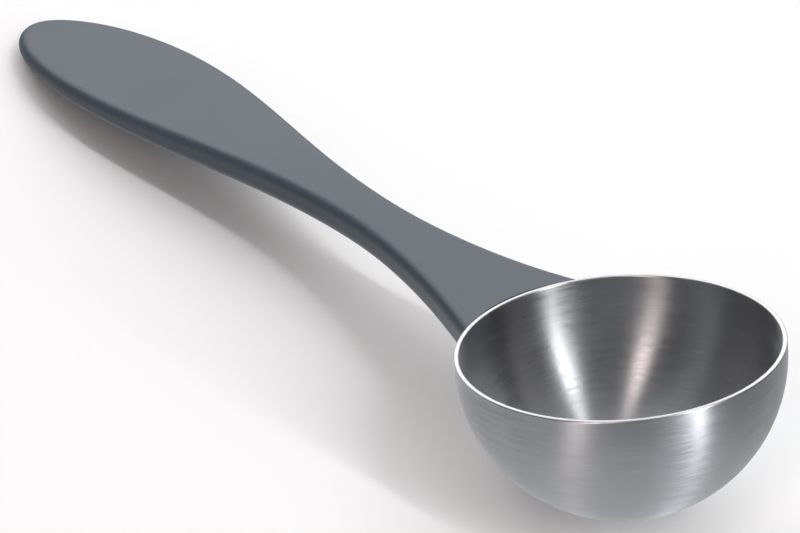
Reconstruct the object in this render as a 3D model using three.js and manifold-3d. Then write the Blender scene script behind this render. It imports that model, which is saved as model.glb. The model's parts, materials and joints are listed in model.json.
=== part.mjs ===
// A coffee scoop: a drawn steel bowl on a slim moulded handle, with a welded steel tang inside the neck.
// Sizes are in millimetres. Every piece is drawn with the rim level, the bowl's axis along Z, the bowl's
// equator at height 0 and the handle towards -X. The scoop is then tipped until it lies on a table on its
// bowl and the end of its handle, and centred over the table.
import * as THREE from 'three';
import { mergeVertices } from 'three/addons/utils/BufferGeometryUtils.js';
import Module from 'manifold-3d';

const wasm = await Module();
wasm.setup();

// Bowl: a hemisphere with a short straight wall above its equator.
const BOWL_RADIUS = 22;
const BOWL_WALL = 0.7;
const BOWL_STRAIGHT = 1.55;
const RIM_EASE = 0.12;

// Handle, in plan. Stations are distances from the bowl's axis.
const COLLAR_STATION = 20;
const COLLAR_HALF_WIDTH = 10.85;
const NECK_STATION = 54.2;
const NECK_HALF_WIDTH = 4.38;
const PADDLE_STATION = 117.7;
const PADDLE_HALF_WIDTH = 11.6;
const TIP_STATION = 150.3;
const FLARE_POWER = 1.9;

// Handle, from the side: a line for its top, and a thickness below it.
const COLLAR_DROP = 0.15;
const COLLAR_SLOPE = 0.095;
const COLLAR_PULL = 22.3;
const TIP_RISE = 14.05;
const TIP_SLOPE = 0.045;
const TIP_PULL = 71.3;
const COLLAR_THICKNESS = 5.1;
const NECK_THICKNESS = 4.6;
const TIP_THICKNESS = 2.95;
const TOP_EDGE_RADIUS = 1.4;
const COLLAR_UNDER_RADIUS = 2.2;
const PADDLE_UNDER_RADIUS = 1.4;

// Tang: a curved flange against the bowl and a flat tongue inside the neck.
const TANG_THICKNESS = 1.2;
const FLANGE_HEIGHT = 2.9;
const FLANGE_HALF_WIDTH = 8;
const TONGUE_ROOT_HALF_WIDTH = 2.4;
const TONGUE_HALF_WIDTH = 2.1;
const TONGUE_TAPER_LENGTH = 10;
const TONGUE_LENGTH = 50;
const HEAD_HALF_WIDTH = 3.2;
const HEAD_LENGTH = 9;
const HEAD_TAPER_LENGTH = 3;
const KEY_HOLE_RADIUS = 1.2;
const KEY_ROOT = 0.7;
const ROOT_KEY_SETBACK = 4.5;

// Plug welds: two on each side of the tongue, set in from the flange's ends.
const WELD_RADIUS = 0.7;
const WELD_SETBACK = 1.8;
const WELD_PITCH = 2.5;

// Clearances between pieces.
const SEAT_GAP = 0.3;
const SLOT_GAP = 0.3;
const KEY_GAP = 0.3;
const WELD_GAP = 0.3;

// How finely curves are divided, and how far a cutter runs past what it cuts.
const BOWL_SIDES = 72;
const BOWL_STEPS = 14;
const BODY_STEPS = 34;
const TIP_STEPS = 12;
const EDGE_STEPS = 3;
const ROUND_SIDES = 20;
const HALVINGS = 40;
const OVERRUN = 4;

// Sizes that follow from those above.
const RIM_HEIGHT = BOWL_STRAIGHT;
const SEAT_RADIUS = BOWL_RADIUS + SEAT_GAP;
const FLANGE_OUTER_RADIUS = SEAT_RADIUS + TANG_THICKNESS;
const TONGUE_START = SEAT_RADIUS + TANG_THICKNESS / 2;
const TONGUE_END = TONGUE_START + TONGUE_LENGTH;

const topLine = new THREE.CubicBezierCurve(
  new THREE.Vector2(COLLAR_STATION, RIM_HEIGHT - COLLAR_DROP),
  new THREE.Vector2(COLLAR_STATION + COLLAR_PULL, RIM_HEIGHT - COLLAR_DROP + COLLAR_SLOPE * COLLAR_PULL),
  new THREE.Vector2(TIP_STATION - TIP_PULL, RIM_HEIGHT + TIP_RISE - TIP_SLOPE * TIP_PULL),
  new THREE.Vector2(TIP_STATION, RIM_HEIGHT + TIP_RISE),
);

const steel = new THREE.MeshStandardMaterial({ color: 0xb4b6b8, roughness: 0.32, metalness: 1 });
const bareSteel = new THREE.MeshStandardMaterial({ color: 0x9a9c9e, roughness: 0.5, metalness: 1 });
const greyPlastic = new THREE.MeshStandardMaterial({ color: 0x7c8086, roughness: 0.55, metalness: 0 });

// A smooth step from 0 to 1 as a station runs from one end of a stretch to the other.
function ease(station, from, to) {
  const share = THREE.MathUtils.clamp((station - from) / (to - from), 0, 1);
  return (1 - Math.cos(Math.PI * share)) / 2;
}

// The height of the handle's top at a station, found by halving along its curve.
function topHeight(station) {
  if (station <= COLLAR_STATION) {
    return RIM_HEIGHT - COLLAR_DROP + COLLAR_SLOPE * (station - COLLAR_STATION);
  }
  let low = 0;
  let high = 1;
  for (let i = 0; i < HALVINGS; i += 1) {
    const middle = (low + high) / 2;
    if (topLine.getPoint(middle).x < station) low = middle;
    else high = middle;
  }
  return topLine.getPoint(high).y;
}

function thickness(station) {
  if (station < NECK_STATION) {
    const share = ease(station, COLLAR_STATION, NECK_STATION);
    return THREE.MathUtils.lerp(COLLAR_THICKNESS, NECK_THICKNESS, share);
  }
  return THREE.MathUtils.lerp(NECK_THICKNESS, TIP_THICKNESS, ease(station, NECK_STATION, TIP_STATION));
}

function midHeight(station) {
  return topHeight(station) - thickness(station) / 2;
}

function underRadius(station) {
  const share = ease(station, COLLAR_STATION, PADDLE_STATION);
  return THREE.MathUtils.lerp(COLLAR_UNDER_RADIUS, PADDLE_UNDER_RADIUS, share);
}

// Half the handle's width ahead of the tip: a flare into the collar, and a smooth swell into the paddle.
function halfWidth(station) {
  if (station < NECK_STATION) {
    const share = (NECK_STATION - station) / (NECK_STATION - COLLAR_STATION);
    return NECK_HALF_WIDTH + (COLLAR_HALF_WIDTH - NECK_HALF_WIDTH) * share ** FLARE_POWER;
  }
  const swell = ease(station, NECK_STATION, PADDLE_STATION);
  return THREE.MathUtils.lerp(NECK_HALF_WIDTH, PADDLE_HALF_WIDTH, swell);
}

// A closed solid from a geometry whose vertices are shared.
function solidOf(geometry) {
  const plain = geometry.index ? geometry.toNonIndexed() : geometry;
  plain.deleteAttribute('normal');
  plain.deleteAttribute('uv');
  const shared = mergeVertices(plain);
  const corners = shared.index.array;
  const triangles = [];
  for (let i = 0; i < corners.length; i += 3) {
    const [a, b, c] = corners.slice(i, i + 3);
    if (a !== b && b !== c && c !== a) triangles.push(a, b, c);
  }
  const mesh = new wasm.Mesh({
    numProp: 3,
    vertProperties: new Float32Array(shared.attributes.position.array),
    triVerts: new Uint32Array(triangles),
  });
  return new wasm.Manifold(mesh);
}

function meshOf(name, solid, material) {
  const { vertProperties, triVerts } = solid.getMesh();
  const geometry = new THREE.BufferGeometry();
  geometry.setAttribute('position', new THREE.BufferAttribute(vertProperties, 3));
  geometry.setIndex(new THREE.BufferAttribute(triVerts, 1));
  geometry.computeVertexNormals();
  const mesh = new THREE.Mesh(geometry, material);
  mesh.name = name;
  return mesh;
}

// A solid of revolution about Z from pairs of radius and height.
function turned(profile) {
  const points = profile.map(([radius, height]) => new THREE.Vector2(radius, height));
  return solidOf(new THREE.LatheGeometry(points, BOWL_SIDES).rotateX(Math.PI / 2));
}

// A quarter arc below the equator, from the pole out to the equator.
function quarterArc(radius) {
  const points = [];
  for (let i = 0; i <= BOWL_STEPS; i += 1) {
    const angle = (Math.PI / 2) * (i / BOWL_STEPS);
    points.push([i === 0 ? 0 : radius * Math.sin(angle), -radius * Math.cos(angle)]);
  }
  return points;
}

function bowl() {
  const innerRadius = BOWL_RADIUS - BOWL_WALL;
  return turned([
    ...quarterArc(BOWL_RADIUS),
    [BOWL_RADIUS, RIM_HEIGHT - RIM_EASE],
    [BOWL_RADIUS - RIM_EASE, RIM_HEIGHT],
    [innerRadius + RIM_EASE, RIM_HEIGHT],
    [innerRadius, RIM_HEIGHT - RIM_EASE],
    ...quarterArc(innerRadius).reverse(),
  ]);
}

// The space that the bowl and everything above it takes out of the collar.
function bowlSpace() {
  const ceiling = RIM_HEIGHT + TIP_RISE + OVERRUN;
  return turned([...quarterArc(SEAT_RADIUS), [SEAT_RADIUS, ceiling], [0, ceiling]]);
}

function boxBetween(low, high) {
  const size = new THREE.Vector3().subVectors(high, low);
  const centre = new THREE.Vector3().addVectors(low, high).multiplyScalar(1 / 2);
  return solidOf(new THREE.BoxGeometry(size.x, size.y, size.z).translate(centre.x, centre.y, centre.z));
}

// The tang's flange, grown all round by a clearance, or by none for the flange itself.
function flange(growth, innerRadius) {
  const middle = midHeight(TONGUE_START);
  const bottom = middle - FLANGE_HEIGHT / 2 - growth;
  const top = middle + FLANGE_HEIGHT / 2 + growth;
  const outerRadius = FLANGE_OUTER_RADIUS + growth;
  const ring = turned([
    [innerRadius, bottom], [outerRadius, bottom],
    [outerRadius, top], [innerRadius, top],
    [innerRadius, bottom],
  ]);
  const reach = FLANGE_HALF_WIDTH + growth;
  const sector = boxBetween(
    new THREE.Vector3(-outerRadius - OVERRUN, -reach, bottom - OVERRUN),
    new THREE.Vector3(0, reach, top + OVERRUN),
  );
  return ring.intersect(sector);
}

// The tongue's plan: a tapered root, a slim shank and a wider head that locks it in the moulding.
function tongueShape(growth) {
  const headStart = TONGUE_END - HEAD_LENGTH;
  const side = [
    [TONGUE_START, TONGUE_ROOT_HALF_WIDTH + growth],
    [TONGUE_START + TONGUE_TAPER_LENGTH, TONGUE_HALF_WIDTH + growth],
    [headStart - HEAD_TAPER_LENGTH, TONGUE_HALF_WIDTH + growth],
    [headStart, HEAD_HALF_WIDTH + growth],
    [TONGUE_END - HEAD_TAPER_LENGTH, HEAD_HALF_WIDTH + growth],
    [TONGUE_END + growth, TONGUE_HALF_WIDTH + growth],
  ];
  const outline = side.map(([station, half]) => new THREE.Vector2(-station, half));
  const mirrored = side.map(([station, half]) => new THREE.Vector2(-station, -half)).reverse();
  return new THREE.Shape([...outline, ...mirrored]);
}

// The tongue follows the middle of the handle, in a straight line from the flange to its own end.
const tongueTilt = Math.atan2(midHeight(TONGUE_END) - midHeight(TONGUE_START), TONGUE_LENGTH);

function alongTongue(geometry) {
  return geometry
    .translate(TONGUE_START, 0, 0)
    .rotateY(tongueTilt)
    .translate(-TONGUE_START, 0, midHeight(TONGUE_START));
}

function tongue(growth) {
  const depth = TANG_THICKNESS + 2 * growth;
  const plate = new THREE.ExtrudeGeometry(tongueShape(growth), { depth, bevelEnabled: false });
  return solidOf(alongTongue(plate.translate(0, 0, -depth / 2)));
}

// Upright rods through the tongue's two key holes, rooted in the moulding above and below its slot.
function keyRods(radius) {
  const stations = [TONGUE_START + ROOT_KEY_SETBACK, TONGUE_END - HEAD_LENGTH / 2];
  const length = TANG_THICKNESS + 2 * (SLOT_GAP + KEY_ROOT);
  const rods = stations.map((station) => {
    const rod = new THREE.CylinderGeometry(radius, radius, length, ROUND_SIDES).rotateX(Math.PI / 2);
    return solidOf(alongTongue(rod.translate(-station, 0, 0)));
  });
  return rods[0].add(rods[1]);
}

// A rod that points away from the bowl's axis at an angle from the handle, at the flange's height.
function radialRod(radius, fromRadius, toRadius, angle) {
  const length = toRadius - fromRadius;
  const rod = new THREE.CylinderGeometry(radius, radius, length, ROUND_SIDES)
    .rotateZ(Math.PI / 2)
    .translate(-(fromRadius + toRadius) / 2, 0, midHeight(TONGUE_START))
    .rotateZ(angle);
  return solidOf(rod);
}

// The angle from the handle at which a weld stands a given distance to the side.
function weldAngle(offset) {
  return Math.asin(offset / FLANGE_OUTER_RADIUS);
}

const outerOffset = FLANGE_HALF_WIDTH - WELD_SETBACK;
const innerOffset = outerOffset - WELD_PITCH;
const weldAngles = {
  weld_left_outer: -weldAngle(outerOffset),
  weld_left_inner: -weldAngle(innerOffset),
  weld_right_inner: weldAngle(innerOffset),
  weld_right_outer: weldAngle(outerOffset),
};

function tang() {
  let solid = flange(0, SEAT_RADIUS).add(tongue(0)).subtract(keyRods(KEY_HOLE_RADIUS));
  for (const angle of Object.values(weldAngles)) {
    const hole = radialRod(WELD_RADIUS + WELD_GAP, BOWL_RADIUS, FLANGE_OUTER_RADIUS + OVERRUN, angle);
    solid = solid.subtract(hole);
  }
  return solid.subtract(bowlSpace());
}

function weld(angle) {
  return radialRod(WELD_RADIUS, SEAT_RADIUS, FLANGE_OUTER_RADIUS, angle);
}

// The handle's plan outline on its right side, with the outward direction at each point.
function planOutline() {
  const start = COLLAR_STATION - OVERRUN;
  const step = (PADDLE_STATION - start) / BODY_STEPS;
  const points = [];
  for (let i = 0; i < BODY_STEPS; i += 1) {
    const station = start + i * step;
    const slope = (halfWidth(station + step / 2) - halfWidth(station - step / 2)) / step;
    const size = Math.hypot(slope, 1);
    points.push({ station, half: halfWidth(station), along: -slope / size, out: 1 / size });
  }
  const tipLength = TIP_STATION - PADDLE_STATION;
  for (let i = 0; i <= TIP_STEPS; i += 1) {
    const angle = (Math.PI / 2) * (i / TIP_STEPS);
    const along = Math.sin(angle) / tipLength;
    const out = i === TIP_STEPS ? 0 : Math.cos(angle) / PADDLE_HALF_WIDTH;
    const size = Math.hypot(along, out);
    points.push({
      station: PADDLE_STATION + tipLength * Math.sin(angle),
      half: i === TIP_STEPS ? 0 : PADDLE_HALF_WIDTH * Math.cos(angle),
      along: along / size,
      out: out / size,
    });
  }
  return points;
}

// Points down the handle's right edge at one place on the outline: around the top edge, then the lower edge.
function edgePoints({ station, half, along, out }) {
  const points = [];
  for (const upper of [true, false]) {
    const radius = upper ? TOP_EDGE_RADIUS : underRadius(station);
    for (let i = 0; i <= EDGE_STEPS; i += 1) {
      const angle = (Math.PI / 2) * (i / EDGE_STEPS);
      const inset = radius * (1 - (upper ? Math.sin(angle) : Math.cos(angle)));
      const depth = radius * (1 - (upper ? Math.cos(angle) : Math.sin(angle)));
      const here = station - along * inset;
      const height = upper ? topHeight(here) - depth : topHeight(here) - thickness(here) + depth;
      points.push(new THREE.Vector3(-here, Math.max(half - out * inset, 0), height));
    }
  }
  return points;
}

// The handle without its seat and slot: rings of edge points from the collar to the tip, closed at both ends.
function handleBlank() {
  const rings = planOutline().map((place) => {
    const right = edgePoints(place);
    const left = right.map((point) => new THREE.Vector3(point.x, -point.y, point.z)).reverse();
    return [...right, ...left];
  });
  const count = rings[0].length;
  const triangles = [];
  for (let i = 0; i + 1 < rings.length; i += 1) {
    for (let j = 0; j < count; j += 1) {
      const next = (j + 1) % count;
      triangles.push(rings[i][j], rings[i + 1][next], rings[i + 1][j]);
      triangles.push(rings[i][j], rings[i][next], rings[i + 1][next]);
    }
  }
  const [face] = rings;
  for (let j = 0; j + 1 < count / 2; j += 1) {
    const opposite = count - 1 - j;
    triangles.push(face[j], face[opposite], face[j + 1]);
    triangles.push(face[j + 1], face[opposite], face[opposite - 1]);
  }
  return solidOf(new THREE.BufferGeometry().setFromPoints(triangles));
}

// The moulding is seated on the bowl, slotted for the tang and keyed through the tang's two holes.
function handle() {
  const slot = flange(SLOT_GAP, SEAT_RADIUS - OVERRUN).add(tongue(SLOT_GAP));
  const keys = keyRods(KEY_HOLE_RADIUS - KEY_GAP);
  return handleBlank().subtract(bowlSpace()).subtract(slot).add(keys);
}

const tipped = new THREE.Group();
const handleMesh = meshOf('handle', handle(), greyPlastic);
tipped.add(meshOf('bowl', bowl(), steel));
tipped.add(meshOf('tang', tang(), bareSteel));
for (const [name, angle] of Object.entries(weldAngles)) {
  tipped.add(meshOf(name, weld(angle), bareSteel));
}
tipped.add(handleMesh);

// The smallest tip at which a point of the handle comes down to the table that the bowl stands on.
function restingTilt() {
  const place = handleMesh.geometry.attributes.position;
  let tilt = Math.PI / 2;
  for (let i = 0; i < place.count; i += 1) {
    const reach = Math.hypot(place.getX(i), place.getZ(i));
    if (-place.getX(i) > NECK_STATION) {
      const touch = Math.atan2(place.getZ(i), -place.getX(i)) + Math.asin(BOWL_RADIUS / reach);
      tilt = Math.min(tilt, touch);
    }
  }
  return tilt;
}

tipped.rotation.y = -restingTilt();
const scoop = new THREE.Group();
scoop.name = 'coffee_scoop';
scoop.add(tipped);
const reach = new THREE.Box3().setFromObject(scoop, true);
tipped.position.set(-(reach.min.x + reach.max.x) / 2, 0, -reach.min.z);

export default scoop;
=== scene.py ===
"""A coffee scoop lying on a table: a brushed steel bowl on a slim grey moulded handle.

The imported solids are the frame. The bowl and the handle are drawn again as fine surfaces from the same
sizes, in millimetres with the rim level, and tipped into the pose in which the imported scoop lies.
"""
import json
import logging
import math
from dataclasses import dataclass
from enum import Enum
from typing import ClassVar

import bmesh
import bpy
import numpy as np
from mathutils import Matrix, Vector


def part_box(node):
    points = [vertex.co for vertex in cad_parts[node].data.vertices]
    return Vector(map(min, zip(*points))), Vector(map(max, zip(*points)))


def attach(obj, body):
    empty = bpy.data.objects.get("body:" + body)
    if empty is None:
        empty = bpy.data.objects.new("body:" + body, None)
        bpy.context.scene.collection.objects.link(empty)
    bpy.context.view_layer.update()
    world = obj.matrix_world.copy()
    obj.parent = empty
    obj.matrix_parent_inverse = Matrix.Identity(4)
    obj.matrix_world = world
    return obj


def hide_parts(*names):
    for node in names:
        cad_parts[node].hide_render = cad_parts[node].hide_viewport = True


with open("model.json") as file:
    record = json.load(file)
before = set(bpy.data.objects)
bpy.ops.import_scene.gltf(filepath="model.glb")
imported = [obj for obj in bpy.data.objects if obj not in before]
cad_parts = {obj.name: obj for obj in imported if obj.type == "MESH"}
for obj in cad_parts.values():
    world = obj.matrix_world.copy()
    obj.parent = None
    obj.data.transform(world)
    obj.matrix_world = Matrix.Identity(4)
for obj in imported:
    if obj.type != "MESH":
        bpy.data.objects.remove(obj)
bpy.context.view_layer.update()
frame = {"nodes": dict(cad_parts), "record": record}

BODY = "root"
MILLIMETRE = 0.001
MERGE_DISTANCE = 1e-7
FACE_WEIGHT = 100
FINE_LAYERS = 3.0
BROAD_LAYERS = 2.0
# A Mix node has sockets for each kind of value. These are the ones that mix colours.
MIX_COLOUR = {"factor": 0, "low": 6, "high": 7, "result": 2}

Triple = tuple[float, float, float]

log = logging.getLogger("coffee_scoop")


def opaque(colour: Triple) -> tuple[float, float, float, float]:
    """Gives a colour its full alpha."""
    return (*colour, 1.0)


class Signal:
    """A number that varies over a surface: a node's output with arithmetic on it."""

    def __init__(self, tree: bpy.types.NodeTree, socket: bpy.types.NodeSocket) -> None:
        """Keeps the tree that the socket belongs to, for the nodes that arithmetic adds."""
        self.tree = tree
        self.socket = socket

    def _math(self, operation: str, first: "Signal | float", second: "Signal | float") -> "Signal":
        """Adds one Math node.

        Args:
            operation: the Math node's operation.
            first: its first input.
            second: its second input.

        Returns:
            The node's result.
        """
        node = self.tree.nodes.new("ShaderNodeMath")
        node.operation = operation
        for slot, value in zip(node.inputs, (first, second)):
            if isinstance(value, Signal):
                self.tree.links.new(value.socket, slot)
            else:
                slot.default_value = value
        return Signal(self.tree, node.outputs[0])

    def __add__(self, other: "Signal | float") -> "Signal":
        """Adds."""
        return self._math("ADD", self, other)

    __radd__ = __add__

    def __sub__(self, other: "Signal | float") -> "Signal":
        """Subtracts."""
        return self._math("SUBTRACT", self, other)

    def __rsub__(self, other: "Signal | float") -> "Signal":
        """Subtracts from a number."""
        return self._math("SUBTRACT", other, self)

    def __mul__(self, other: "Signal | float") -> "Signal":
        """Multiplies."""
        return self._math("MULTIPLY", self, other)

    __rmul__ = __mul__

    def swing(self, amount: float) -> "Signal":
        """Turns a share from 0 to 1 into a swing about 0, by half the amount to either side."""
        return amount * self - amount / 2


class Recipe:
    """A node tree that is written as calls: each node from its type, its settings and its inputs."""

    def __init__(self, tree: bpy.types.NodeTree) -> None:
        """Empties the tree."""
        self.tree = tree
        tree.nodes.clear()

    def node(self, kind: str, settings: dict | None = None, inputs: dict | None = None) -> bpy.types.Node:
        """Adds one node.

        Args:
            kind: the node's type.
            settings: its properties, set first.
            inputs: its sockets by name or number, each a value, a Signal or another node's socket.

        Returns:
            The node.
        """
        made = self.tree.nodes.new(kind)
        for key, value in (settings or {}).items():
            setattr(made, key, value)
        for key, value in (inputs or {}).items():
            slot = made.inputs[key]
            if isinstance(value, Signal):
                self.tree.links.new(value.socket, slot)
            elif isinstance(value, bpy.types.NodeSocket):
                self.tree.links.new(value, slot)
            else:
                slot.default_value = value
        return made

    def signal(self, node: bpy.types.Node, output: str) -> Signal:
        """Gives a node's output as a number to calculate with."""
        return Signal(self.tree, node.outputs[output])

    def noise(self, place: bpy.types.NodeSocket, pitch: Triple, layers: float) -> Signal:
        """Adds a noise.

        Args:
            place: the coordinates to read it at.
            pitch: the size of its features along each axis, in the units of the coordinates.
            layers: how many finer layers it has.

        Returns:
            The noise, from 0 to 1.
        """
        scaled = self.node("ShaderNodeVectorMath", {"operation": "DIVIDE"}, {0: place, 1: pitch})
        inputs = {"Vector": scaled.outputs[0], "Scale": 1.0, "Detail": layers}
        return self.signal(self.node("ShaderNodeTexNoise", None, inputs), "Fac")

    def object_millimetres(self) -> bpy.types.NodeSocket:
        """Reads the place on the object.

        Returns:
            The object's own coordinates, in millimetres.
        """
        place = self.node("ShaderNodeTexCoord").outputs["Object"]
        inputs = {0: place, "Scale": 1 / MILLIMETRE}
        return self.node("ShaderNodeVectorMath", {"operation": "SCALE"}, inputs).outputs[0]

    def blended(self, factor: Signal, low: Triple, high: Triple) -> bpy.types.NodeSocket:
        """Mixes two colours by a number from 0 to 1.

        Args:
            factor: the number.
            low: the colour at 0.
            high: the colour at 1.

        Returns:
            The mixed colour.
        """
        values = {"factor": factor, "low": opaque(low), "high": opaque(high)}
        inputs = {MIX_COLOUR[key]: value for key, value in values.items()}
        return self.node("ShaderNodeMix", {"data_type": "RGBA"}, inputs).outputs[MIX_COLOUR["result"]]

    def bumped(self, height: Signal, depth: float) -> bpy.types.NodeSocket:
        """Turns a height into a normal.

        Args:
            height: the height, from 0 to 1.
            depth: how far 1 stands above 0, in millimetres.

        Returns:
            The normal.
        """
        inputs = {"Height": height, "Distance": depth * MILLIMETRE, "Strength": 1.0}
        return self.node("ShaderNodeBump", None, inputs).outputs[0]

    def mixed(
        self, factor: bpy.types.NodeSocket, low: bpy.types.Node, high: bpy.types.Node,
    ) -> bpy.types.Node:
        """Mixes two shaders by a number from 0 to 1.

        Args:
            factor: the number.
            low: the shader at 0.
            high: the shader at 1.

        Returns:
            The mixed shader.
        """
        return self.node("ShaderNodeMixShader", None, {0: factor, 1: low.outputs[0], 2: high.outputs[0]})

    def surface(self, sockets: dict) -> None:
        """Ends the material in one Principled BSDF with the given sockets."""
        shader = self.node("ShaderNodeBsdfPrincipled", None, sockets)
        self.node("ShaderNodeOutputMaterial", None, {"Surface": shader.outputs[0]})


def new_material(name: str) -> tuple[bpy.types.Material, Recipe]:
    """Makes an empty node material.

    Args:
        name: the material's name.

    Returns:
        The material, and the recipe that fills it.
    """
    material = bpy.data.materials.new(name)
    material.use_nodes = True
    return material, Recipe(material.node_tree)


@dataclass(frozen=True)
class BrushedSteel:
    """Steel that was brushed around an axis. Sizes are in millimetres.

    The brush attribute holds a point's place across the axis and its distance along the profile. Noise
    that is read there, far finer along the profile than across the axis, gives scratches that run around.
    Broader bands of the same kind and a soft smear break up their evenness. The roughness swings by
    ragged with the scratches and bands, and by smeared with the smear.
    """

    name: str
    colour: Triple
    shade: Triple
    roughness: float
    anisotropy: float
    scratch_depth: float
    scratch_length: float = 3.0
    scratch_pitch: float = 0.2
    scratch_share: float = 0.65
    band_length: float = 18.0
    band_pitch: float = 0.8
    smear_size: float = 8.0
    ragged: float = 0.42
    smeared: float = 0.12
    stretch_turn: float = 0.25

    BRUSH: ClassVar[str] = "brush"

    def material(self) -> bpy.types.Material:
        """Builds the finish.

        Returns:
            The material.
        """
        material, recipe = new_material(self.name)
        place = recipe.node("ShaderNodeAttribute", {"attribute_name": self.BRUSH}).outputs["Vector"]
        scratch = (self.scratch_length, self.scratch_length, self.scratch_pitch)
        hair = recipe.noise(place, scratch, FINE_LAYERS)
        band = recipe.noise(place, (self.band_length, self.band_length, self.band_pitch), BROAD_LAYERS)
        smear = recipe.noise(place, (self.smear_size,) * 3, BROAD_LAYERS)
        lines = hair * self.scratch_share + band * (1 - self.scratch_share)
        recipe.surface({
            "Base Color": recipe.blended(lines, self.shade, self.colour),
            "Metallic": 1.0,
            "Roughness": self.roughness + lines.swing(self.ragged) + smear.swing(self.smeared),
            "Anisotropic": self.anisotropy,
            "Anisotropic Rotation": self.stretch_turn,
            "Normal": recipe.bumped(hair, self.scratch_depth),
        })
        return material


@dataclass(frozen=True)
class MouldedPlastic:
    """Grey plastic from a spark-eroded mould: an even satin with a fine pebbled grain. Millimetres.

    The roughness swings by clouded with a broad cloud, and by grainy with the grain.
    """

    name: str
    colour: Triple
    shade: Triple
    roughness: float
    gloss: float
    grain_size: float
    grain_depth: float
    cloud_size: float = 17.0
    cloud_share: float = 0.6
    clouded: float = 0.08
    grainy: float = 0.1

    def material(self) -> bpy.types.Material:
        """Builds the finish.

        Returns:
            The material.
        """
        material, recipe = new_material(self.name)
        place = recipe.object_millimetres()
        grain = recipe.noise(place, (self.grain_size,) * 3, BROAD_LAYERS)
        cloud = recipe.noise(place, (self.cloud_size,) * 3, FINE_LAYERS)
        tone = cloud * self.cloud_share + grain * (1 - self.cloud_share)
        recipe.surface({
            "Base Color": recipe.blended(tone, self.shade, self.colour),
            "Roughness": self.roughness + cloud.swing(self.clouded) + grain.swing(self.grainy),
            "Specular IOR Level": self.gloss,
            "Normal": recipe.bumped(grain, self.grain_depth),
        })
        return material


@dataclass(frozen=True)
class RolledSteel:
    """Plain rolled sheet or weld metal: a faint mottle over fine lines along the scoop. Millimetres.

    The roughness swings by mottled with the mottle.
    """

    name: str
    colour: Triple
    shade: Triple
    roughness: float
    mottle_size: float = 1.1
    mottled: float = 0.2
    line_length: float = 5.0
    line_pitch: float = 0.25
    line_depth: float = 0.006

    def material(self) -> bpy.types.Material:
        """Builds the finish.

        Returns:
            The material.
        """
        material, recipe = new_material(self.name)
        place = recipe.object_millimetres()
        mottle = recipe.noise(place, (self.mottle_size,) * 3, FINE_LAYERS)
        lines = recipe.noise(place, (self.line_length, self.line_pitch, self.line_pitch), BROAD_LAYERS)
        recipe.surface({
            "Base Color": recipe.blended(mottle, self.shade, self.colour),
            "Metallic": 1.0,
            "Roughness": self.roughness + mottle.swing(self.mottled),
            "Normal": recipe.bumped(lines, self.line_depth),
        })
        return material


@dataclass(frozen=True)
class RestPose:
    """How the upright scoop lies on the table: the bowl's centre and the way its axis leans."""

    centre: Triple
    axis: Triple

    def place(self, points: np.ndarray) -> np.ndarray:
        """Takes points from the upright scoop to the table.

        The scoop turns about Y: its length follows the rim's plane, its height the bowl's axis.

        Args:
            points: places in millimetres, from the bowl's centre with the rim level.

        Returns:
            The same places in metres, in the frame's own axes.
        """
        lean, _, rise = self.axis
        turn = np.array([[rise, 0.0, -lean], [0.0, 1.0, 0.0], [lean, 0.0, rise]])
        return points @ turn * MILLIMETRE + np.array(self.centre)


def add_piece(name: str, mesh: bpy.types.Mesh, nodes: list[str]) -> bpy.types.Object:
    """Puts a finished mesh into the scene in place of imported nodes.

    Args:
        name: the piece's name.
        mesh: its mesh, in place.
        nodes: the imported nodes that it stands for.

    Returns:
        The piece.
    """
    piece = bpy.data.objects.new(name, mesh)
    bpy.context.scene.collection.objects.link(piece)
    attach(piece, BODY)
    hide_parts(*nodes)
    return piece


def quads(rows: int, columns: int, wrap: bool) -> np.ndarray:
    """Numbers the corners of a grid's squares.

    Args:
        rows: how many rows of points there are.
        columns: how many points each row has.
        wrap: whether the last point of a row joins the first.

    Returns:
        Four point numbers for each square.
    """
    steps = columns if wrap else columns - 1
    row, column = np.meshgrid(np.arange(rows - 1), np.arange(steps), indexing="ij")
    after = (column + 1) % columns
    here, there = row * columns, (row + 1) * columns
    return np.stack([here + column, here + after, there + after, there + column], axis=-1).reshape(-1, 4)


def mesh_from(name: str, points: np.ndarray, faces: np.ndarray) -> bpy.types.Mesh:
    """Makes a smooth mesh from whole arrays.

    Args:
        name: the mesh's name.
        points: the places of its points.
        faces: the point numbers of each face, all faces with the same count.

    Returns:
        The mesh.
    """
    mesh = bpy.data.meshes.new(name)
    mesh.vertices.add(len(points))
    mesh.vertices.foreach_set("co", points.astype(np.float32).ravel())
    mesh.loops.add(faces.size)
    mesh.loops.foreach_set("vertex_index", faces.astype(np.int32).ravel())
    mesh.polygons.add(len(faces))
    mesh.polygons.foreach_set("loop_start", np.arange(0, faces.size, faces.shape[1], dtype=np.int32))
    mesh.polygons.foreach_set("use_smooth", np.ones(len(faces), dtype=bool))
    mesh.update(calc_edges=True)
    return mesh


def close_seams(mesh: bpy.types.Mesh) -> None:
    """Joins points that lie on each other, drops what collapses and turns every face outwards.

    Args:
        mesh: the mesh to close.
    """
    work = bmesh.new()
    work.from_mesh(mesh)
    bmesh.ops.remove_doubles(work, verts=work.verts, dist=MERGE_DISTANCE)
    bmesh.ops.dissolve_degenerate(work, edges=work.edges, dist=MERGE_DISTANCE)
    bmesh.ops.recalc_face_normals(work, faces=work.faces)
    work.to_mesh(mesh)
    work.free()


def weigh_normals(piece: bpy.types.Object) -> None:
    """Lets large flat faces keep their own direction beside small rounded edges.

    Args:
        piece: the piece that gets the modifier.
    """
    modifier = piece.modifiers.new("even_shading", "WEIGHTED_NORMAL")
    modifier.weight = FACE_WEIGHT
    modifier.keep_sharp = True


class Zone(Enum):
    """The bowl's three finishes, in the order of its material slots."""

    OUTSIDE = 0
    RIM = 1
    INSIDE = 2


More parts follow.
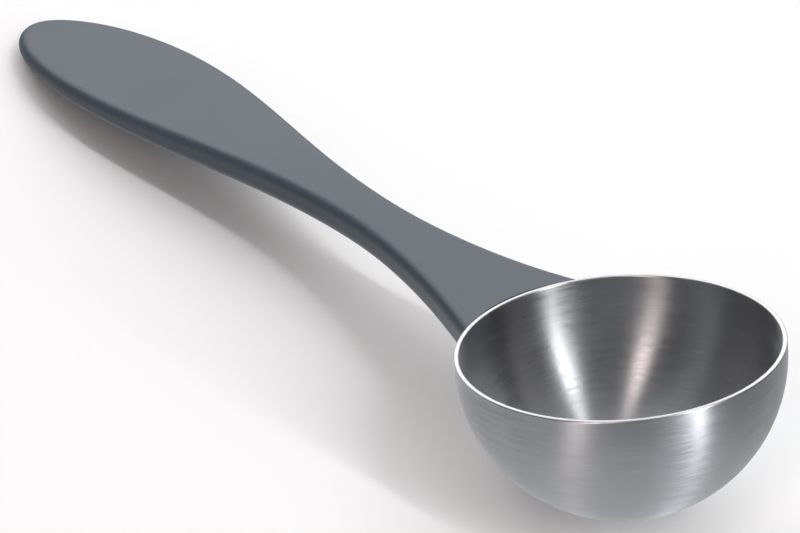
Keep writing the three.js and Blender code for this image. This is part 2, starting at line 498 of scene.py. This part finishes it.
@dataclass(frozen=True)
class Bowl:
    """The drawn steel cup: a hemisphere with a short straight wall and a flat ground rim. Millimetres."""

    pose: RestPose
    radius: float = 22.0
    wall: float = 0.7
    straight: float = 1.55
    outer_ease: float = 0.24
    inner_ease: float = 0.2
    around: int = 256
    arc_steps: int = 72
    wall_steps: int = 6
    ease_steps: int = 5

    FINISHES: ClassVar[dict[Zone, BrushedSteel]] = {
        Zone.OUTSIDE: BrushedSteel(
            "bowl_outside", colour=(0.447, 0.461, 0.486), shade=(0.26, 0.27, 0.287),
            roughness=0.4, anisotropy=0.93, scratch_depth=0.007,
        ),
        Zone.RIM: BrushedSteel(
            "bowl_rim", colour=(0.49, 0.495, 0.503), shade=(0.36, 0.364, 0.371),
            roughness=0.36, anisotropy=0.8, scratch_depth=0.004, scratch_length=6.0, scratch_pitch=0.06,
        ),
        Zone.INSIDE: BrushedSteel(
            "bowl_inside", colour=(0.45, 0.46, 0.478), shade=(0.26, 0.267, 0.278),
            roughness=0.38, anisotropy=0.93, scratch_depth=0.006,
        ),
    }

    def profile(self) -> tuple[np.ndarray, np.ndarray]:
        """Draws the wall's outline from the outer pole over the rim to the inner pole.

        Each pole is joined to the equator by a quarter circle about the bowl's centre: radius times the
        sine of an angle, at minus radius times its cosine. A straight wall leads up to the rim, whose two
        edges are small quarter circles.

        Returns:
            Pairs of radius and height, and the zone of the stretch that follows each pair.
        """
        quarter = np.linspace(0.0, np.pi / 2, self.arc_steps + 1)
        arc = np.stack([np.sin(quarter), -np.cos(quarter)], axis=1)
        ease = np.linspace(0.0, np.pi / 2, self.ease_steps + 1)
        edge = np.stack([np.cos(ease) - 1, np.sin(ease) - 1], axis=1)
        rise = np.linspace(0.0, self.straight - self.outer_ease, self.wall_steps, endpoint=False)[1:]
        inner = self.radius - self.wall
        outer_edge = np.array([self.radius, self.straight]) + self.outer_ease * edge
        inner_edge = np.array([inner, self.straight]) + self.inner_ease * edge * [-1, 1]
        outer_wall = np.stack([np.full_like(rise, self.radius), rise], axis=1)
        inner_wall = np.stack([np.full_like(rise, inner), rise], axis=1)
        stretches = {
            Zone.OUTSIDE: np.concatenate([arc * self.radius, outer_wall]),
            Zone.RIM: np.concatenate([outer_edge, inner_edge[:0:-1]]),
            Zone.INSIDE: np.concatenate([inner_edge[:1], inner_wall[::-1], arc[::-1] * inner]),
        }
        zones = np.repeat([zone.value for zone in stretches], [len(part) for part in stretches.values()])
        return np.concatenate(list(stretches.values())), zones

    def build(self) -> bpy.types.Object:
        """Turns the outline about the bowl's axis and dresses it.

        Each point is the outline's radius times the cosine and sine of an angle, at the outline's height.

        Returns:
            The bowl.
        """
        outline, zones = self.profile()
        angle = np.linspace(0.0, 2 * np.pi, self.around, endpoint=False)
        radius, height = outline[:, :1], outline[:, 1:]
        places = np.broadcast_arrays(radius * np.cos(angle), radius * np.sin(angle), height)
        points = np.stack(places, axis=-1)
        faces = quads(len(outline), self.around, True)
        mesh = mesh_from("bowl", self.pose.place(points.reshape(-1, 3)), faces)
        length = np.concatenate([[0.0], np.cumsum(np.linalg.norm(np.diff(outline, axis=0), axis=1))])
        brush = points.copy()
        brush[..., 2] = length[:, None]
        layer = mesh.attributes.new(BrushedSteel.BRUSH, "FLOAT_VECTOR", "POINT")
        layer.data.foreach_set("vector", brush.ravel())
        finishes = np.repeat(zones[:-1], self.around).astype(np.int32)
        mesh.polygons.foreach_set("material_index", finishes)
        for zone in Zone:
            mesh.materials.append(self.FINISHES[zone].material())
        close_seams(mesh)
        piece = add_piece("steel_bowl", mesh, ["bowl"])
        weigh_normals(piece)
        return piece


@dataclass(frozen=True)
class Handle:
    """The grey moulding: a collar against the bowl, a slim neck and a leaf-shaped paddle.

    Stations are distances from the bowl's axis along the handle. Sizes are in millimetres, the angle in
    degrees.
    """

    pose: RestPose

    # The seat against the bowl.
    bowl_radius: float = Bowl.radius
    rim_height: float = Bowl.straight
    seat_gap: float = 0.05
    seat_edge: float = 0.1
    seat_edge_angle: float = 40.0
    seat_edge_steps: int = 2

    # The plan: stations and half widths.
    run_in: float = 4.0
    collar_station: float = 20.0
    collar_half_width: float = 10.85
    neck_station: float = 54.2
    neck_half_width: float = 4.38
    paddle_station: float = 117.7
    paddle_half_width: float = 11.6
    tip_station: float = 150.3
    flare_power: float = 1.9

    # The side view: the curve of the top, and the thickness.
    collar_drop: float = 0.15
    collar_slope: float = 0.095
    collar_pull: float = 22.3
    tip_rise: float = 14.05
    tip_slope: float = 0.045
    tip_pull: float = 71.3
    collar_thickness: float = 5.1
    neck_thickness: float = 4.6
    tip_thickness: float = 2.95

    # The rounded edges of the top and the underside.
    top_edge_depth: float = 1.4
    neck_edge_inset: float = 1.4
    tip_edge_inset: float = 2.0
    collar_under_radius: float = 2.2
    paddle_under_radius: float = 1.4

    # The mesh, with the steps of the top's curve and of the search for the seat.
    along: int = 260
    tip_density: float = 1.3
    across: int = 14
    edge_steps: int = 10
    seat_steps: int = 10
    curve_steps: int = 600
    search_steps: int = 600
    search_share: float = 0.3

    FINISH: ClassVar[MouldedPlastic] = MouldedPlastic(
        "satin_moulding", colour=(0.059, 0.076, 0.094), shade=(0.049, 0.065, 0.082),
        roughness=0.45, gloss=0.25, grain_size=0.25, grain_depth=0.02,
    )

    @staticmethod
    def ease(station: np.ndarray, start: float, end: float) -> np.ndarray:
        """Steps smoothly from 0 to 1 between stations: half of one minus the cosine of half a turn."""
        share = np.clip((station - start) / (end - start), 0.0, 1.0)
        return (1 - np.cos(np.pi * share)) / 2

    def top_height(self, station: np.ndarray) -> np.ndarray:
        """Gives the height of the top.

        It is a cubic Bezier curve from the collar to the tip, with a straight run-in.

        Args:
            station: distances from the bowl's axis.

        Returns:
            Heights above the bowl's equator.
        """
        start = self.rim_height - self.collar_drop
        end = self.rim_height + self.tip_rise
        t = np.linspace(0.0, 1.0, self.curve_steps)
        weights = np.stack([(1 - t) ** 3, 3 * (1 - t) ** 2 * t, 3 * (1 - t) * t ** 2, t ** 3], axis=1)
        pulled = [self.collar_station + self.collar_pull, self.tip_station - self.tip_pull]
        lifted = [start + self.collar_slope * self.collar_pull, end - self.tip_slope * self.tip_pull]
        stations = weights @ np.array([self.collar_station, *pulled, self.tip_station])
        heights = weights @ np.array([start, *lifted, end])
        run_in = start + self.collar_slope * (station - self.collar_station)
        return np.where(station < self.collar_station, run_in, np.interp(station, stations, heights))

    def thickness(self, station: np.ndarray) -> np.ndarray:
        """Gives the thickness: smooth steps from the collar to the neck and from the neck to the tip.

        Args:
            station: distances from the bowl's axis.

        Returns:
            Thicknesses, straight down from the top.
        """
        to_neck = self.ease(station, self.collar_station, self.neck_station)
        to_tip = self.ease(station, self.neck_station, self.tip_station)
        return (self.collar_thickness + (self.neck_thickness - self.collar_thickness) * to_neck
                + (self.tip_thickness - self.neck_thickness) * to_tip)

    def top_inset(self, station: np.ndarray) -> np.ndarray:
        """Gives how far in the top edge starts to round: a squared smooth step from neck to tip."""
        share = self.ease(station, self.neck_station, self.tip_station) ** 2
        return self.neck_edge_inset + (self.tip_edge_inset - self.neck_edge_inset) * share

    def under_radius(self, station: np.ndarray) -> np.ndarray:
        """Gives the rounding of the lower edge: a smooth step from the collar to the paddle."""
        share = self.ease(station, self.collar_station, self.paddle_station)
        return self.collar_under_radius + (self.paddle_under_radius - self.collar_under_radius) * share

    def body_half(self, station: np.ndarray) -> tuple[np.ndarray, np.ndarray]:
        """Gives half the width ahead of the tip.

        Up to the neck it grows as a power of the distance from the neck. From the neck to the paddle it
        is a smooth step.

        Args:
            station: distances from the bowl's axis.

        Returns:
            The half width, and its slope along the handle.
        """
        reach = self.neck_station - self.collar_station
        stretch = self.paddle_station - self.neck_station
        spread = self.collar_half_width - self.neck_half_width
        swell = self.paddle_half_width - self.neck_half_width
        flare = np.maximum(self.neck_station - station, 0.0) / reach
        phase = np.pi * np.clip((station - self.neck_station) / stretch, 0.0, 1.0)
        half = self.neck_half_width + spread * flare ** self.flare_power + swell * (1 - np.cos(phase)) / 2
        flare_slope = -spread * self.flare_power * flare ** (self.flare_power - 1) / reach
        return half, flare_slope + swell * np.pi / 2 * np.sin(phase) / stretch

    def outline(self, share: np.ndarray) -> tuple[np.ndarray, np.ndarray, np.ndarray, np.ndarray]:
        """Walks along one side of the plan, from the collar (0) to the tip (1).

        The tip is a quarter of an ellipse. The outward direction is square to the outline.

        Args:
            share: how far along each point is.

        Returns:
            The station, the half width, and the outward direction along and across the handle.
        """
        start = self.collar_station - self.run_in
        body_length = self.paddle_station - start
        tip_length = self.tip_station - self.paddle_station
        body_share = body_length / (body_length + self.tip_density * tip_length)
        body = start + body_length * np.minimum(share / body_share, 1.0)
        half, slope = self.body_half(body)
        angle = np.pi / 2 * np.clip((share - body_share) / (1 - body_share), 0.0, 1.0)
        in_tip = share > body_share
        station = np.where(in_tip, self.paddle_station + tip_length * np.sin(angle), body)
        half = np.where(in_tip, self.paddle_half_width * np.cos(angle), half)
        along = np.where(in_tip, np.sin(angle) / tip_length, -slope)
        out = np.where(in_tip, np.cos(angle) / self.paddle_half_width, 1.0)
        size = np.hypot(along, out)
        return station, half, along / size, out / size

    def chains(self) -> tuple[np.ndarray, np.ndarray, np.ndarray]:
        """Lays out the points across the top or the underside, from the left edge to the right.

        Returns:
            Each point's side from -1 to 1, and the cosine and sine of its angle on the rounded edge.
        """
        rise = np.linspace(0.0, np.pi / 2, self.edge_steps + 1)
        middle = np.linspace(-1.0, 1.0, self.across + 1)[1:-1]
        side = np.concatenate([-np.ones_like(rise), middle, np.ones_like(rise)])
        cosine = np.concatenate([np.cos(rise), np.zeros_like(middle), np.cos(rise[::-1])])
        sine = np.concatenate([np.sin(rise), np.ones_like(middle), np.sin(rise[::-1])])
        return side, cosine, sine

    def surface(self, share: np.ndarray, upper: bool) -> np.ndarray:
        """Works out points of the top or the underside.

        An edge is a quarter of an ellipse: at an angle, the point is the inset times one minus the cosine
        inside the outline, and the depth times one minus the sine from the flat. The lower edge has one
        radius for both. Between the edges the flat spans from side to side.

        Args:
            share: how far along the outline each point is, with one column for each point of a chain.
            upper: whether the points are on the top.

        Returns:
            Places in millimetres, with the handle towards -X.
        """
        side, cosine, sine = self.chains()
        station, half, along, out = self.outline(share)
        inset = (self.top_inset(station) if upper else self.under_radius(station)) * (1 - cosine)
        depth = (self.top_edge_depth if upper else self.under_radius(station)) * (1 - sine)
        here = station - along * inset
        width = np.maximum(half - out * inset, 0.0)
        height = self.top_height(here) + (-depth if upper else depth - self.thickness(here))
        return np.stack([-here, side * width, height], axis=-1)

    def seat(self, height: np.ndarray) -> np.ndarray:
        """Gives the seat's radius about the bowl's axis: a sphere up to the equator, a cylinder above."""
        return np.sqrt((self.bowl_radius + self.seat_gap) ** 2 - np.minimum(height, 0.0) ** 2)

    def from_seat(self, upper: bool) -> np.ndarray:
        """Works out the top or the underside from the bowl's seat to the tip.

        Each line along the handle starts where its distance from the bowl's axis reaches the seat's
        radius: between the last try inside the seat and the first one clear of it.

        Args:
            upper: whether it is the top.

        Returns:
            A grid of places: along the handle, then across it.
        """
        chain = len(self.chains()[0])
        tries = np.linspace(0.0, self.search_share, self.search_steps)
        trial = self.surface(np.broadcast_to(tries[:, None], (self.search_steps, chain)), upper)
        clear = np.hypot(trial[..., 0], trial[..., 1]) - self.seat(trial[..., 2])
        first = np.argmax(clear > 0, axis=0)
        column = np.arange(chain)
        before, after = clear[first - 1, column], clear[first, column]
        start = tries[first - 1] + (tries[first] - tries[first - 1]) * before / (before - after)
        step = np.linspace(0.0, 1.0, self.along + 1)[:, None]
        grid = self.surface(start + (1 - start) * step, upper)
        grid[0, :, 0] = -np.sqrt(self.seat(grid[0, :, 2]) ** 2 - grid[0, :, 1] ** 2)
        return grid

    def build(self) -> bpy.types.Object:
        """Joins the top, the underside, the sides and the seat into one closed skin and dresses it.

        The seat's face runs in straight lines from the top's first row to the underside's, pushed out to
        the seat's radius.

        Returns:
            The handle.
        """
        top, under = self.from_seat(True), self.from_seat(False)
        ring = np.concatenate([top, under[:, ::-1]], axis=1)
        step = np.linspace(0.0, 1.0, self.seat_steps + 1)[:, None, None]
        face = top[0] + (under[0] - top[0]) * step
        face[..., 0] = -np.sqrt(self.seat(face[..., 2]) ** 2 - face[..., 1] ** 2)
        skin_quads = quads(*ring.shape[:2], True)
        face_quads = quads(*face.shape[:2], False) + ring.shape[0] * ring.shape[1]
        points = np.concatenate([ring.reshape(-1, 3), face.reshape(-1, 3)])
        mesh = mesh_from("handle", self.pose.place(points), np.concatenate([skin_quads, face_quads]))
        mesh.materials.append(self.FINISH.material())
        close_seams(mesh)
        piece = add_piece("moulded_handle", mesh, ["handle"])
        self.soften_seat(piece)
        weigh_normals(piece)
        return piece

    def soften_seat(self, piece: bpy.types.Object) -> None:
        """Rounds the sharp edge around the seat's face.

        Args:
            piece: the handle.
        """
        bevel = piece.modifiers.new("seat_edge", "BEVEL")
        bevel.limit_method = "ANGLE"
        bevel.angle_limit = math.radians(self.seat_edge_angle)
        bevel.width = self.seat_edge * MILLIMETRE
        bevel.segments = self.seat_edge_steps


@dataclass(frozen=True)
class Tang:
    """The stamped bracket and its plug welds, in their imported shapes, hidden in the collar and neck."""

    bracket: str = "tang"
    sheet: RolledSteel = RolledSteel(
        "stamped_sheet", colour=(0.56, 0.56, 0.57), shade=(0.44, 0.44, 0.45), roughness=0.38,
    )
    welds: tuple[str, ...] = (
        "weld_left_inner", "weld_left_outer", "weld_right_inner", "weld_right_outer",
    )
    weld: RolledSteel = RolledSteel(
        "weld_metal", colour=(0.5, 0.47, 0.44), shade=(0.3, 0.29, 0.31), roughness=0.48,
    )

    def dress(self) -> list[bpy.types.Object]:
        """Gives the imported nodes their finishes.

        Returns:
            The nodes.
        """
        weld_metal = self.weld.material()
        finishes = {self.bracket: self.sheet.material()} | {name: weld_metal for name in self.welds}
        for name, finish in finishes.items():
            for slot in frame["nodes"][name].material_slots:
                slot.material = finish
        return [frame["nodes"][name] for name in finishes]


def direction(azimuth: float, elevation: float) -> Vector:
    """Points from the scoop towards a viewer. Azimuth 0 stands at -Y and 90 at +X, in degrees."""
    turn, lift = math.radians(azimuth), math.radians(elevation)
    return Vector((math.sin(turn) * math.cos(lift), -math.cos(turn) * math.cos(lift), math.sin(lift)))


@dataclass(frozen=True)
class SoftBox:
    """A rectangular lamp that faces a point of the scoop.

    Angles are in degrees, as seen from that point, and sizes in metres.
    """

    name: str
    azimuth: float
    elevation: float
    distance: float
    width: float
    height: float
    radiance: float
    colour: Triple = (1.0, 1.0, 1.0)

    def build(self, target: Vector) -> None:
        """Hangs the lamp, which the camera itself doesn't see.

        Args:
            target: the point that it faces.
        """
        lamp = bpy.data.lights.new(self.name, "AREA")
        lamp.shape = "RECTANGLE"
        lamp.size = self.width
        lamp.size_y = self.height
        # A flat lamp gives off pi times its radiance and its area.
        lamp.energy = self.radiance * math.pi * self.width * self.height
        lamp.color = self.colour
        holder = bpy.data.objects.new(self.name, lamp)
        back = direction(self.azimuth, self.elevation)
        holder.location = target + back * self.distance
        holder.rotation_euler = (-back).to_track_quat("-Z", "Y").to_euler()
        holder.visible_camera = False
        bpy.context.scene.collection.objects.link(holder)


@dataclass(frozen=True)
class Camera:
    """The photograph's camera: where it stands, where it looks and how far it leans.

    Angles are in degrees and places in metres, the lens and the sensor in millimetres.
    """

    azimuth: float = 50.27
    elevation: float = 34.557
    roll: float = 3.12
    distance: float = 0.36692
    target: Triple = (0.01737, 0.0, 0.00952)
    lens: float = 112.5
    sensor: float = 36.0
    nearest: float = 0.01
    farthest: float = 50.0

    def build(self) -> None:
        """Sets the camera up and makes it the scene's own."""
        data = bpy.data.cameras.new("photo_camera")
        data.sensor_width = self.sensor
        data.lens = self.lens
        data.clip_start = self.nearest
        data.clip_end = self.farthest
        camera = bpy.data.objects.new("photo_camera", data)
        back = direction(self.azimuth, self.elevation)
        lean = Matrix.Rotation(math.radians(self.roll), 3, "Z")
        turn = (-back).to_track_quat("-Z", "Y").to_matrix() @ lean
        camera.matrix_world = Matrix.LocRotScale(Vector(self.target) + back * self.distance, turn, None)
        bpy.context.scene.collection.objects.link(camera)
        bpy.context.scene.camera = camera


@dataclass(frozen=True)
class Studio:
    """A pale floor under soft lamps, in a plain grey room. Sizes are in metres."""

    floor_colour: Triple = (0.84, 0.84, 0.84)
    floor_roughness: float = 0.9
    floor_gloss: float = 0.1
    floor_half: float = 6.0

    # Painted reflection of the floor: reflections show a glowing sheet in place of the lit floor, white
    # up to one radius and grey from the other on, with no shadow of the scoop.
    painted_reflection_colour: Triple = (1.0, 1.0, 1.0)
    painted_surround_colour: Triple = (0.4, 0.4, 0.42)
    painted_reflection_middle: Triple = (0.045, -0.023, 0.0)
    white_radius: float = 0.05
    grey_radius: float = 0.165

    # The room's own light, and the lamps with the point that they face.
    horizon: Triple = (0.08, 0.084, 0.096)
    overhead: Triple = (0.07, 0.073, 0.084)
    target: Triple = (0.03, 0.0, 0.015)
    lamps: tuple[SoftBox, ...] = (
        SoftBox(
            "top_box", azimuth=231.0, elevation=66.0, distance=0.9, width=1.4, height=1.0,
            radiance=1.25,
        ),
        SoftBox(
            "back_box", azimuth=231.0, elevation=25.0, distance=0.8, width=1.1, height=0.5,
            radiance=2.85,
        ),
        SoftBox(
            "right_strip", azimuth=99.5, elevation=30.0, distance=1.0, width=0.06, height=1.15,
            radiance=36.0,
        ),
        SoftBox(
            "left_strip", azimuth=24.5, elevation=30.0, distance=1.0, width=0.166, height=1.15,
            radiance=6.3, colour=(1.0, 0.84, 0.79),
        ),
    )

    def build(self) -> None:
        """Lays the floor, hangs the lamps and paints the room."""
        self.lay_floor()
        for lamp in self.lamps:
            lamp.build(Vector(self.target))
        self.paint_room()

    def lay_floor(self) -> None:
        """Lays a square floor at the table's height.

        Reflections show a painted reflection in its place, a glowing sheet without the scoop's shadow,
        and it can be seen through from below.
        """
        corners = np.array([[-1.0, -1.0, 0.0], [1.0, -1.0, 0.0], [1.0, 1.0, 0.0], [-1.0, 1.0, 0.0]])
        mesh = mesh_from("floor", corners * self.floor_half, np.array([[0, 1, 2, 3]]))
        material, recipe = new_material("pale_floor")
        paint = recipe.node("ShaderNodeBsdfPrincipled", None, {
            "Base Color": opaque(self.floor_colour),
            "Roughness": self.floor_roughness,
            "Specular IOR Level": self.floor_gloss,
        })
        mirrored = recipe.node("ShaderNodeLightPath").outputs["Is Glossy Ray"]
        seen = recipe.mixed(mirrored, paint, self.painted_floor_reflection(recipe))
        clear = recipe.node("ShaderNodeBsdfTransparent")
        below = recipe.node("ShaderNodeNewGeometry").outputs["Backfacing"]
        one_way = recipe.mixed(below, seen, clear)
        recipe.node("ShaderNodeOutputMaterial", None, {"Surface": one_way.outputs[0]})
        # The painted reflection glows in reflections alone, so it isn't sampled as a lamp.
        material.cycles.emission_sampling = "NONE"
        mesh.materials.append(material)
        floor = bpy.data.objects.new("floor", mesh)
        bpy.context.scene.collection.objects.link(floor)

    def painted_floor_reflection(self, recipe: Recipe) -> bpy.types.Node:
        """Makes the painted reflection that stands in for the lit floor: a glowing white sheet around the
        bowl that fades to grey.

        Args:
            recipe: the floor's material.

        Returns:
            The shader.
        """
        place = recipe.node("ShaderNodeTexCoord").outputs["Object"]
        ends = {0: place, 1: self.painted_reflection_middle}
        reach = recipe.node("ShaderNodeVectorMath", {"operation": "DISTANCE"}, ends).outputs["Value"]
        span = {"Value": reach, "From Min": self.white_radius, "From Max": self.grey_radius}
        fade = recipe.node("ShaderNodeMapRange", {"interpolation_type": "SMOOTHSTEP"}, span).outputs[0]
        # Painted reflection: these glow in place of the floor's real lighting.
        glows = [
            recipe.node("ShaderNodeEmission", None, {"Color": opaque(colour), "Strength": 1.0})
            for colour in (self.painted_reflection_colour, self.painted_surround_colour)
        ]
        return recipe.mixed(fade, *glows)

    def paint_room(self) -> None:
        """Lights the room evenly, a little paler at the horizon than overhead."""
        world = bpy.data.worlds.new("grey_room")
        world.use_nodes = True
        recipe = Recipe(world.node_tree)
        place = recipe.node("ShaderNodeTexCoord").outputs["Generated"]
        height = recipe.signal(recipe.node("ShaderNodeSeparateXYZ", None, {0: place}), "Z")
        colour = recipe.blended(height, self.horizon, self.overhead)
        light = recipe.node("ShaderNodeBackground", None, {"Color": colour, "Strength": 1.0})
        recipe.node("ShaderNodeOutputWorld", None, {"Surface": light.outputs[0]})
        bpy.context.scene.world = world


def rest_pose(bowl_radius: float) -> RestPose:
    """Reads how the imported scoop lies: its rim's direction, and the bowl's centre from the bowl's box.

    Args:
        bowl_radius: the bowl's outer radius in millimetres.

    Returns:
        The pose.
    """
    radius = bowl_radius * MILLIMETRE
    _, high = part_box("bowl")
    return RestPose((high[0] - radius, 0.0, radius), tuple(frame["record"]["mounts"][0]["axis"]))


def main() -> None:
    """Builds the scoop piece by piece, then its studio and camera, and logs each piece's faces and
    finishes.
    """
    logging.basicConfig(level=logging.INFO, format="%(name)s: %(message)s")
    bpy.context.scene.view_settings.view_transform = "Standard"
    pose = rest_pose(Bowl.radius)
    for piece in (Bowl(pose).build(), Handle(pose).build(), *Tang().dress()):
        finishes = ", ".join(slot.material.name for slot in piece.material_slots)
        log.info("%s: %d faces in %s", piece.name, len(piece.data.polygons), finishes)
    Studio().build()
    Camera().build()


if __name__ == "__main__":
    main()
